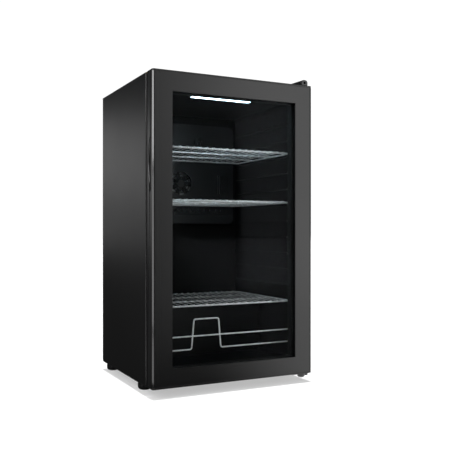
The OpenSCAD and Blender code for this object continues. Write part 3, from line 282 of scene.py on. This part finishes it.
STEEL = dict(metallic=1.0, stretch=(1, 1, 14), grain=700, bump=0.06)
MATS = {
    "cabinet_paint": material("cabinet_paint", grey(0.0050), grey(0.0062), 0.34, 0.02, patch=3, grain=900,
                              bump=0.05),
    "roof_paint": material("roof_paint", grey(0.0050), grey(0.0065), 0.36, 0.03, patch=4, grain=900,
                           bump=0.08),
    "back_steel": material("back_steel", (0.16, 0.165, 0.17), (0.20, 0.205, 0.21), 0.38, 0.06, metallic=0.6,
                           grain=260, cell=True, bump=0.05),
    "base_steel": material("base_steel", grey(0.02), grey(0.03), 0.45, grain=500),
    "liner_abs": material("liner_abs", grey(0.0030), grey(0.0038), 0.5, 0.03, grain=1500, bump=0.12,
                          ior=1.35),
    "foam": material("foam", (0.55, 0.42, 0.20), (0.70, 0.56, 0.30), 0.9, 0.05, patch=60, grain=900,
                     cell=True, bump=0.6),
    "screw_steel": material("screw_steel", (0.50, 0.50, 0.49), (0.66, 0.66, 0.66), 0.28, 0.06, **STEEL),
    "condenser_paint": material("condenser_paint", grey(0.008), grey(0.013), 0.38, 0.08, patch=30,
                                grain=700, bump=0.15),
    "clip_plastic": material("clip_plastic", grey(0.012), grey(0.018), 0.5, grain=900),
    "compressor_paint": material("compressor_paint", grey(0.006), grey(0.010), 0.22, 0.05, coat=0.4, patch=14,
                                 grain=220, bump=0.08),
    "grommet_rubber": material("grommet_rubber", grey(0.012), grey(0.020), 0.75, grain=1200),
    "relay_plastic": material("relay_plastic", grey(0.012), grey(0.018), 0.5, grain=1400),
    "copper": material("copper", (0.62, 0.26, 0.13), (0.86, 0.44, 0.27), 0.26, 0.10, metallic=1.0, patch=25,
                       grain=400, bump=0.05),
    "tray_plastic": material("tray_plastic", grey(0.02), grey(0.028), 0.55, grain=1000),
    "drain_plastic": material("drain_plastic", grey(0.08), grey(0.11), 0.45, grain=1000),
    "terminal_plastic": material("terminal_plastic", grey(0.012), grey(0.02), 0.5, grain=1300),
    "evaporator_metal": material("evaporator_metal", (0.62, 0.64, 0.66), (0.78, 0.80, 0.82), 0.35, 0.08,
                                 metallic=1.0,
                                 grain=300, bump=0.05),
    "cover_abs": material("cover_abs", grey(0.022), grey(0.027), 0.42, 0.03, grain=1500, bump=0.12),
    "fan_plastic": material("fan_plastic", grey(0.008), grey(0.012), 0.45, grain=1300),
    "thermostat_plastic": material("thermostat_plastic", (0.52, 0.52, 0.48), (0.62, 0.62, 0.58), 0.5,
                                   grain=1300),
    "knob_plastic": material("knob_plastic", grey(0.012), grey(0.018), 0.38, grain=1400),
    "switch_plastic": material("switch_plastic", grey(0.01), grey(0.014), 0.3, grain=1400, bump=0.05),
    "rocker_plastic": material("rocker_plastic", grey(0.012), grey(0.018), 0.25, grain=1400, bump=0.05),
    "lamp_plastic": material("lamp_plastic", (0.70, 0.72, 0.74), (0.80, 0.82, 0.84), 0.4, grain=1300),
    "lens_plastic": lit_lens("lens_plastic"),
    "led_board_mix": material("led_board_mix", (0.75, 0.75, 0.70), (0.85, 0.85, 0.80), 0.35, grain=600),
    "shelf_chrome": material("shelf_chrome", (0.86, 0.87, 0.88), (0.95, 0.95, 0.96), 0.26, 0.05, metallic=0.2,
                             patch=40, grain=500, bump=0.02),
    "guard_chrome": material("guard_chrome", (0.90, 0.91, 0.92), (0.97, 0.97, 0.97), 0.28, 0.05,
                             metallic=0.15,
                             patch=40, grain=500, bump=0.02),
    "socket_plastic": material("socket_plastic", grey(0.01), grey(0.015), 0.45, grain=1300),
    "hinge_steel": material("hinge_steel", grey(0.012), grey(0.018), 0.35, 0.05, coat=0.2, grain=600),
    "pin_steel": material("pin_steel", (0.50, 0.50, 0.50), (0.66, 0.66, 0.67), 0.2, **STEEL),
    "hinge_cover_abs": material("hinge_cover_abs", grey(0.012), grey(0.016), 0.32, 0.03, grain=1400,
                                bump=0.08),
    "foot_plastic": material("foot_plastic", grey(0.006), grey(0.010), 0.48, grain=1200),
    "nut_steel": material("nut_steel", (0.42, 0.42, 0.42), (0.56, 0.56, 0.57), 0.3, **STEEL),
    "plug_plastic": material("plug_plastic", grey(0.008), grey(0.012), 0.35, grain=1400),
    "trim_paint": material("trim_paint", grey(0.0050), grey(0.0062), 0.33, 0.02, patch=3, grain=900,
                           bump=0.05,
                           side_band=(0.2333, 0.2401)),
    "frame_abs": material("frame_abs", grey(0.008), grey(0.011), 0.34, 0.03, grain=1500, bump=0.08),
    "inner_abs": material("inner_abs", grey(0.006), grey(0.009), 0.42, 0.03, grain=1500, bump=0.12),
    "cap_abs": material("cap_abs", grey(0.0015), grey(0.002), 0.45, 0.03, grain=1400, bump=0.05),
    "pane_glass": clear_pane("pane_glass"),
    "spacer_aluminium": material("spacer_aluminium", grey(0.012), grey(0.018), 0.4, grain=600, metallic=0.5),
    "gasket_pvc": material("gasket_pvc", grey(0.006), grey(0.009), 0.6, 0.05, grain=900, bump=0.08),
    "magnet_ferrite": material("magnet_ferrite", (0.05, 0.04, 0.035), (0.08, 0.065, 0.055), 0.8, grain=700),
    "pocket_abs": material("pocket_abs", grey(0.006), grey(0.009), 0.16, 0.03, grain=1400, bump=0.03),
    "bush_acetal": material("bush_acetal", (0.78, 0.78, 0.74), (0.86, 0.86, 0.83), 0.4, grain=1200),
}
for node, obj in NODES.items():
    obj.material_slots[0].material = MATS[SLOT_OF[node]]


# ---- making pieces ----

def finish_piece(name, bm, node, sharp=38):
    """Turns a bmesh into a piece that stands for the CAD node, with smooth shading up to sharp degrees."""
    bmesh.ops.recalc_face_normals(bm, faces=bm.faces)
    for face in bm.faces:
        face.smooth = True
    limit = math.radians(sharp)
    for edge in bm.edges:
        edge.smooth = len(edge.link_faces) != 2 or edge.calc_face_angle(0) < limit
    mesh = bpy.data.meshes.new(name)
    bm.to_mesh(mesh)
    bm.free()
    obj = bpy.data.objects.new(name, mesh)
    bpy.context.scene.collection.objects.link(obj)
    slot = SLOT_OF[node]
    mesh.materials.append(MATS[slot])
    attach(obj, BODY_OF[node])
    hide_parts(node)
    return obj


def cad_copy(node):
    """The CAD node's mesh as a welded bmesh with its flat areas joined."""
    bm = bmesh.new()
    bm.from_mesh(NODES[node].data)
    bmesh.ops.remove_doubles(bm, verts=bm.verts, dist=2e-6)
    bmesh.ops.dissolve_limit(bm, angle_limit=math.radians(0.6), verts=bm.verts, edges=bm.edges)
    return bm


def round_edges(bm, width):
    """Bevels the edges of a bmesh that turn by more than 32 degrees, by a width in mm."""
    edges = [e for e in bm.edges if len(e.link_faces) == 2 and e.calc_face_angle(0) > math.radians(32)]
    bmesh.ops.bevel(bm, geom=edges, offset=width * MM, offset_type="OFFSET", segments=2, profile=0.5,
                    affect="EDGES", clamp_overlap=False)


def finish_form(node, bm):
    """Finishes a piece made from a CAD copy, with normals that keep its flat faces flat."""
    obj = finish_piece(node + "_form", bm, node)
    obj.modifiers.new("weighted", "WEIGHTED_NORMAL").keep_sharp = True


def soften(node, width):
    """A piece with the CAD node's form and rounded edges."""
    bm = cad_copy(node)
    round_edges(bm, width)
    finish_form(node, bm)


def bent(points, radius, steps=5):
    """Turns a route in mm into one in metres, with its inner corners rounded to a radius in mm."""
    pts = [Vector(p) * MM for p in points]
    out = [pts[0]]
    for a, b, c in zip(pts, pts[1:], pts[2:]):
        u = (a - b).normalized()
        v = (c - b).normalized()
        turn = u.angle(v)
        back = min(radius * MM / math.tan(turn / 2), (a - b).length * 0.5, (c - b).length * 0.5)
        p, q = b + u * back, b + v * back
        for i in range(steps + 1):
            t = i / steps
            out.append((1 - t) ** 2 * p + 2 * t * (1 - t) * b + t * t * q)
    out.append(pts[-1])
    return out


def sweep(bm, route, radius, sides=10, closed=False):
    """Adds a round wire of a radius in mm along a route in metres. An open wire gets chamfered ends."""
    tip = 0.35
    r = radius * MM
    rings = [(p, 1.0) for p in route]
    if not closed:
        a, b = route[0], route[-1]
        ta = (route[0] - route[1]).normalized()
        tb = (route[-1] - route[-2]).normalized()
        lead = tip * r
        rings = [(a, 1 - tip), (a - ta * lead, 1.0)] + rings[1:-1]
        rings += [(b - tb * lead, 1.0), (b, 1 - tip)]
    count = len(rings)
    side = None
    loops = []
    for i, (p, size) in enumerate(rings):
        prev = rings[i - 1][0] if closed or i > 0 else p
        nxt = rings[(i + 1) % count][0] if closed or i < count - 1 else p
        along = (nxt - prev).normalized()
        side = along.orthogonal() if side is None else side - along * side.dot(along)
        side.normalize()
        up = along.cross(side)
        loops.append([bm.verts.new(p + (side * math.cos(t) + up * math.sin(t)) * r * size)
                      for t in (2 * math.pi * k / sides for k in range(sides))])
    pairs = list(zip(loops, loops[1:])) + ([(loops[-1], loops[0])] if closed else [])
    for low, high in pairs:
        for k in range(sides):
            bm.faces.new((low[k], low[(k + 1) % sides], high[(k + 1) % sides], high[k]))
    if not closed:
        bm.faces.new(loops[0][::-1])
        bm.faces.new(loops[-1])


def lathe(bm, profile, centre, steps=48):
    """Adds a body turned from (radius, height) points in mm about the upright axis through centre."""
    middle = Vector(centre)
    angles = [2 * math.pi * k / steps for k in range(steps)]
    loops = []
    for radius, height in profile:
        if radius < 1e-6:
            loops.append([bm.verts.new((middle + Vector((0, 0, height))) * MM)])
            continue
        ring = [Vector((radius * math.cos(t), radius * math.sin(t), height)) for t in angles]
        loops.append([bm.verts.new((middle + point) * MM) for point in ring])
    for low, high in zip(loops, loops[1:]):
        for k in range(steps):
            n = (k + 1) % steps
            if len(low) == 1 and len(high) > 1:
                bm.faces.new((low[0], high[n], high[k]))
            elif len(high) == 1 and len(low) > 1:
                bm.faces.new((low[k], low[n], high[0]))
            elif len(low) > 1:
                bm.faces.new((low[k], low[n], high[n], high[k]))


def box_mm(node):
    """The low and high corner of a CAD node, in mm."""
    lo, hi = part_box(node)
    return lo / MM, hi / MM


def straight(*points):
    """A route in metres through points in mm."""
    return [Vector(p) * MM for p in points]


# ---- shelves and can guard ----

FRAME_R, CROSS_R, DECK_R = 2.5, 2.2, 1.3
DECK_RISE = 3.3
DECK_PITCH = 20


def wire_shelf(node):
    """A frame rod, two cross rods and a deck of thin wires that bend down over the front rod."""
    lo, hi = box_mm(node)
    z = lo.z + FRAME_R
    x, y0, y1 = hi.x - FRAME_R, lo.y + 4.6, hi.y - FRAME_R
    bm = bmesh.new()
    frame_route = bent([(0, y0, z), (x, y0, z), (x, y1, z), (-x, y1, z), (-x, y0, z), (0, y0, z)], 9, 6)
    sweep(bm, frame_route[:-1], FRAME_R, 12, closed=True)
    for k in (1, 2):
        y = y0 + (y1 - y0) * k / 3
        sweep(bm, straight((-x, y, z), (0, y, z), (x, y, z)), CROSS_R, 10)
    deck = z + DECK_RISE
    for i in range(-9, 10):
        wire_x = i * DECK_PITCH
        route = bent([(wire_x, y1 + 1, deck), (wire_x, 0, deck), (wire_x, y0 - DECK_RISE, deck),
                      (wire_x, y0 - DECK_RISE, z - 1)], 2.4, 5)
        sweep(bm, route, DECK_R, 8)
    finish_piece(node + "_wire", bm, node)


for shelf in ("shelf_top", "shelf_middle", "shelf_lower"):
    wire_shelf(shelf)

GUARD_R = 2
LOOP_X, LOOP_HALF, LOOP_SLOPE = -60, 37, 7
lo, hi = box_mm("can_guard")
front, rear, low, top = lo.y + GUARD_R, hi.y - GUARD_R, lo.z + GUARD_R, hi.z - GUARD_R
rail_z = low + 36
foot_half = LOOP_HALF + LOOP_SLOPE
bm = bmesh.new()
sweep(bm, straight((lo.x, front, rail_z), (0, front, rail_z), (hi.x, front, rail_z)), GUARD_R, 12)
sweep(bm, bent([(lo.x, rear, low), (LOOP_X - foot_half, rear, low), (LOOP_X - LOOP_HALF, rear, top),
                (LOOP_X + LOOP_HALF, rear, top), (LOOP_X + foot_half, rear, low), (hi.x, rear, low)], 7, 7),
      GUARD_R, 12)
finish_piece("can_guard_wire", bm, "can_guard")

# ---- condenser ----

PITCH = 54
TUBE_R = 2.4
WIRE_R, WIRE_PITCH = 0.8, 15
BEND_STEPS = 12
lo, hi = box_mm("condenser_tube")
tube_y = (lo.y + hi.y) / 2
half = hi.x - TUBE_R - PITCH / 2
low_z, high_z = lo.z + TUBE_R, hi.z - TUBE_R
passes = round((high_z - low_z) / PITCH) + 1
bm = bmesh.new()
route = straight((-half, tube_y, low_z))
for i in range(passes):
    s = 1 if i % 2 == 0 else -1
    z = low_z + i * PITCH
    route += straight((s * half, tube_y, z))
    if i < passes - 1:
        for k in range(1, BEND_STEPS):
            a = math.radians(-90 + 180 * k / BEND_STEPS)
            out = s * (half + PITCH / 2 * math.cos(a))
            route += straight((out, tube_y, z + PITCH / 2 * (1 + math.sin(a))))
sweep(bm, route, TUBE_R, 12)
finish_piece("condenser_tube_bent", bm, "condenser_tube")

lo, hi = box_mm("condenser_wires")
bm = bmesh.new()
for i in range(-11, 12):
    x = i * WIRE_PITCH
    y = hi.y - 0.9 if i % 2 == 0 else lo.y + 0.9
    sweep(bm, straight((x, y, lo.z), (x, y, (lo.z + hi.z) / 2), (x, y, hi.z)), WIRE_R, 8)
finish_piece("condenser_wire_rows", bm, "condenser_wires")

# ---- compressor bay ----

def middle_of(node):
    """The middle of a CAD node's box, in mm."""
    lo, hi = box_mm(node)
    return (lo + hi) / 2


BOLT_X, BOLT_Y = 80, 44
FOOT_T = 3
lo, hi = box_mm("compressor")
cx, cy, cz = (lo.x + hi.x) / 2, middle_of("compressor_grommets").y, lo.z


def turned(centre, radius, a0, a1, steps=8):
    """Points of an arc round a centre, from angle a0 to a1 in degrees."""
    angles = [math.radians(a0 + (a1 - a0) * k / steps) for k in range(steps + 1)]
    return [(centre[0] + radius * math.cos(a), centre[1] + radius * math.sin(a)) for a in angles]


def rounded_plate(bm, lo, hi, corner):
    """Adds a plate between two corner points in mm, with round upright edges and chamfered rims."""
    ring = []
    for x, y, a in ((lo[0] + corner, lo[1] + corner, 180), (hi[0] - corner, lo[1] + corner, 270),
                    (hi[0] - corner, hi[1] - corner, 0), (lo[0] + corner, hi[1] - corner, 90)):
        ring += turned((x, y), corner, a, a + 90, 6)
    rise = min(0.6, (hi[2] - lo[2]) / 4)
    levels = [(lo[2], 0.5), (lo[2] + rise, 0), (hi[2] - rise, 0), (hi[2], 0.5)]
    mid = ((lo[0] + hi[0]) / 2, (lo[1] + hi[1]) / 2)
    loops = []
    for z, inset in levels:
        inner = [(x - math.copysign(inset, x - mid[0]), y - math.copysign(inset, y - mid[1]))
                 for x, y in ring]
        loops.append([bm.verts.new(Vector((x, y, z)) * MM) for x, y in inner])
    for a, b in zip(loops, loops[1:]):
        for k in range(len(ring)):
            n = (k + 1) % len(ring)
            bm.faces.new((a[k], a[n], b[n], b[k]))
    bm.faces.new(loops[0][::-1])
    bm.faces.new(loops[-1])


bm = bmesh.new()
weld = [(66, 57), (68.4, 58), (69, 59), (69, 62), (68.4, 63), (66, 64)]
shell = [(0, 0)] + turned((44, 22), 22, 270, 360) + weld + turned((26, 84), 40, 0, 90, 12) + [(0, 124)]
lathe(bm, shell, (cx, cy, cz), steps=72)
lathe(bm, [(0, 0), (4, 0), (4, 44), (3.2, 46), (0, 46)], (cx - 40, cy + 30, cz + 74), steps=20)
for sx in (-1, 1):
    for sy in (-1, 1):
        x, y = cx + sx * BOLT_X, cy + sy * BOLT_Y
        eye = [(6, 0), (12, 0), (12.6, 0.6), (12.6, 2.4), (12, FOOT_T), (6, FOOT_T), (6, 0)]
        lathe(bm, eye, (x, y, cz), steps=32)
for sy in (-1, 1):
    y = cy + sy * BOLT_Y
    rounded_plate(bm, (cx - 72, y - 10, cz), (cx + 72, y + 10, cz + FOOT_T), 4)
rounded_plate(bm, (cx - 60, cy - 36, cz), (cx + 60, cy + 36, cz + FOOT_T), 4)
finish_piece("compressor_shell", bm, "compressor", sharp=50)

PIPE_R, SUCTION_R, CAPILLARY_R = 2.2, 3.0, 1.2
INLET_X, JOINT_X, RISER_X = -190, 169, 222
bm = bmesh.new()
dx = middle_of("filter_dryer").x
dz = box_mm("filter_dryer")[0].z
delivery = [(cx - 65, cy + 12, cz + 40), (cx - 96, cy + 12, cz + 40), (cx - 96, cy + 12, cz + 96),
            (INLET_X, tube_y - 10, 165.5), (INLET_X, tube_y, low_z - 20), (INLET_X, tube_y, low_z),
            (-JOINT_X, tube_y, low_z)]
suction = [(cx + 33, cy - 52.8, cz + 34), (cx + 66, cy - 70, cz + 34), (cx + 116, cy - 70, cz + 34),
           (cx + 116, cy - 70, cz + 155)]
riser = [(dx, cy, dz + 92), (dx, cy, dz + 108), (dx + 8, 200.5, 167.5), (RISER_X, tube_y - 10, 169.5),
         (RISER_X, tube_y, 217.5), (RISER_X, tube_y, high_z), (190, tube_y, high_z),
         (JOINT_X, tube_y, high_z)]
capillary = [(dx, cy, dz), (dx, cy, dz - 16), (dx - 30, cy - 30, dz - 16), (dx - 30, cy - 30, dz + 127)]
sweep(bm, bent(delivery, 9), PIPE_R, 12)
sweep(bm, bent(suction, 12), SUCTION_R, 12)
sweep(bm, bent(riser, 8), PIPE_R, 12)
sweep(bm, bent(capillary, 6), CAPILLARY_R, 10)
finish_piece("copper_pipes_bent", bm, "copper_pipes")

bm = bmesh.new()
dryer = [(0, 0), (3.2, 0), (3.2, 5), (4.2, 8), (7.6, 13), (9.4, 15), (10, 18), (10, 74), (9.4, 77),
         (7.6, 80), (4.2, 86), (3.2, 89), (3.2, 92), (0, 92)]
lathe(bm, dryer, (dx, cy, dz), steps=40)
finish_piece("filter_dryer_spun", bm, "filter_dryer", sharp=60)

# ---- feet ----

FOOT_R, FOOT_H, BULGE = 19, 25, 9
STUD_R, THREAD_PITCH = 4.0, 1.25


def foot(name, node, spots):
    """Bun-shaped feet with threaded studs, all in one piece, at the given places."""
    z_top = box_mm(node)[1].z
    bm = bmesh.new()
    profile = [(0, 1.2), (6, 1.2), (7, 0.3), (8, 0)]
    profile += turned((FOOT_R - BULGE, BULGE), BULGE, 270, 360, 8)
    profile += turned((FOOT_R - BULGE, FOOT_H - BULGE), BULGE, 0, 66, 7)
    profile += [(12.2, 24.6), (11.4, FOOT_H), (STUD_R, FOOT_H)]
    z = FOOT_H
    while z < z_top - 2.5:
        profile += [(STUD_R - 0.5, z + 0.25), (STUD_R, z + 0.75), (STUD_R - 0.5, z + THREAD_PITCH)]
        z += THREAD_PITCH
    profile += [(3.3, z_top - 0.8), (2.7, z_top), (0, z_top)]
    for x, y in spots:
        lathe(bm, profile, (x, y, 0), steps=40)
    finish_piece(name, bm, node, sharp=50)


for side in ("left", "right"):
    node = "front_foot_" + side
    lo, hi = box_mm(node)
    foot(node + "_bun", node, [((lo.x + hi.x) / 2, (lo.y + hi.y) / 2)])
lo, hi = box_mm("rear_feet")
foot("rear_feet_bun", "rear_feet", [(s * (hi.x - FOOT_R), (lo.y + hi.y) / 2) for s in (-1, 1)])

# ---- gasket with the folds of its bellows ----

GASKET_W, FOLD_DEPTH = 12, 1.1
lo, hi = box_mm("door_gasket")
bm = cad_copy("door_gasket")
depth = hi.y - lo.y
levels = [lo.y + depth * f for f in (0.14, 0.26, 0.38, 0.50, 0.62)]
for y in levels:
    bmesh.ops.bisect_plane(bm, geom=bm.verts[:] + bm.edges[:] + bm.faces[:], plane_co=(0, y * MM, 0),
                           plane_no=(0, 1, 0))
mid_z = (lo.z + hi.z) / 2


def near(a, b):
    return abs(a - b) < 0.1


for v in bm.verts:
    x, y, z = v.co / MM
    if not any(near(y, level) for level in levels[1::2]):
        continue
    for inset, step in ((0, -FOLD_DEPTH), (GASKET_W, FOLD_DEPTH)):
        at_side = near(abs(x), hi.x - inset)
        at_end = near(z, lo.z + inset) or near(z, hi.z - inset)
        if at_side:
            v.co.x += math.copysign(step, x) * MM
        if at_end:
            v.co.z += math.copysign(step, z - mid_z) * MM
        if at_side or at_end:
            break
finish_piece("door_gasket_bellows", bm, "door_gasket", sharp=70)

# ---- door trim: chamfered corners with a groove beside each, and a lip round the window ----

lo, hi = box_mm("door_trim")
pane_lo, pane_hi = box_mm("glass_outer")
SHEET, CHAMFER, LAP = 1.5, 3.6, 12
GROOVE_NEAR, GROOVE_FAR, GROOVE_D = 4.2, 6.6, 0.9
win_x, win_z0, win_z1 = pane_hi.x - LAP, pane_lo.z + LAP, pane_hi.z - LAP
face, side_x = lo.y, hi.x
outer = [(-side_x, hi.y), (-side_x, face + CHAMFER), (-side_x + CHAMFER, face), (-side_x + GROOVE_NEAR, face),
         (-side_x + GROOVE_NEAR, face + GROOVE_D), (-side_x + GROOVE_FAR, face + GROOVE_D),
         (-side_x + GROOVE_FAR, face), (-win_x, face)]
back_y = face + SHEET
inner = [(-side_x + SHEET, hi.y), (-side_x + SHEET, face + CHAMFER + 0.6), (-side_x + CHAMFER + 0.6, back_y),
         (-side_x + 4.6, back_y), (-side_x + 5.2, back_y), (-side_x + 5.9, back_y),
         (-side_x + GROOVE_FAR, back_y), (-win_x - SHEET, back_y)]
outer += [(-x, y) for x, y in outer[::-1]]
inner += [(-x, y) for x, y in inner[::-1]]
outer_z = (lo.z, win_z0, win_z1, hi.z)
inner_z = (lo.z, win_z0 - SHEET, win_z1 + SHEET, hi.z)
bm = bmesh.new()
skins = [[[bm.verts.new(Vector((x, y, z)) * MM) for z in heights] for x, y in path]
         for path, heights in ((outer, outer_z), (inner, inner_z))]
GLASS_CELL = (len(outer) // 2 - 1, 1)
for skin in skins:
    for i in range(len(outer) - 1):
        for j in range(3):
            if (i, j) != GLASS_CELL:
                bm.faces.new((skin[i][j], skin[i + 1][j], skin[i + 1][j + 1], skin[i][j + 1]))
front, behind = skins
for j in range(3):
    for i in (0, -1):
        bm.faces.new((front[i][j], front[i][j + 1], behind[i][j + 1], behind[i][j]))
for i in range(len(outer) - 1):
    for j in (0, -1):
        bm.faces.new((front[i][j], front[i + 1][j], behind[i + 1][j], behind[i][j]))
g = GLASS_CELL[0]
rims = [[skin[g][1], skin[g + 1][1], skin[g + 1][2], skin[g][2]] for skin in skins]
lip_y = pane_lo.y - 0.1
lips = [[bm.verts.new((v.co.x, lip_y * MM, v.co.z)) for v in rim] for rim in rims]
for a, b in ((rims[0], lips[0]), (lips[0], lips[1]), (lips[1], rims[1])):
    for k in range(4):
        n = (k + 1) % 4
        bm.faces.new((a[k], a[n], b[n], b[k]))
trim = finish_piece("door_trim_form", bm, "door_trim", sharp=30)
edge = trim.modifiers.new("edges", "BEVEL")
edge.width = 0.35 * MM
edge.segments = 2
edge.limit_method = "ANGLE"
edge.angle_limit = math.radians(40)
edge.harden_normals = True

# ---- handle pocket with its bright bowed rim ----

lo, hi = box_mm("handle_pocket")
bm = cad_copy("handle_pocket")
round_edges(bm, 0.5)
span = (hi.z - lo.z) / 2
BOW = 12.0
RIM_W = 2.4
HALF_STEPS = 16
bow_r = (span * span + BOW * BOW) / (2 * BOW)
mid_z = (lo.z + hi.z) / 2
stations = []
for k in range(2 * HALF_STEPS + 1):
    a = math.asin(span / bow_r) * (k / HALF_STEPS - 1)
    y, z = hi.y - bow_r + bow_r * math.cos(a), mid_z + bow_r * math.sin(a) * 0.995
    stations.append([bm.verts.new(Vector((x, y - back, z)) * MM)
                     for x, back in ((lo.x + 0.1, 0.1), (lo.x + RIM_W, RIM_W), (lo.x + RIM_W, 0.1))])
for a, b in zip(stations, stations[1:]):
    for k in range(3):
        n = (k + 1) % 3
        bm.faces.new((a[k], a[n], b[n], b[k]))
bm.faces.new(stations[0])
bm.faces.new(stations[-1])
finish_form("handle_pocket", bm)

# ---- forms that keep the CAD shape with rounded edges ----

EDGE_WIDTHS = {
    "door_cap_top": 0.8, "door_cap_bottom": 0.8, "door_frame": 0.6, "door_inner_panel": 0.6,
    "top_hinge_cover": 0.8, "bottom_hinge_bracket": 0.5, "top_hinge_bracket": 0.4, "relay_box": 0.8,
    "terminal_box": 0.8, "drip_tray": 0.4, "lamp_housing": 0.4, "side_panel_left": 0.3,
    "side_panel_right": 0.3, "top_panel": 0.3, "base_plate": 0.3, "evaporator_cover": 0.4,
    "thermostat_body": 0.8, "thermostat_knob": 0.5, "switch_body": 0.4, "switch_rocker": 0.3,
    "fan_blades": 0.3, "fan_housing": 0.4, "condenser_clips": 0.6, "cord_gland": 0.4, "hinge_screws": 0.2,
    "back_screws": 0.2, "foot_nuts": 0.3, "compressor_bolts": 0.3, "compressor_grommets": 0.6,
    "hinge_bushes": 0.3, "hole_plugs": 0.3, "guard_sockets": 0.4, "lamp_lens": 0.6, "inner_liner": 0.4,
}
for node, width in EDGE_WIDTHS.items():
    soften(node, width)

studio()
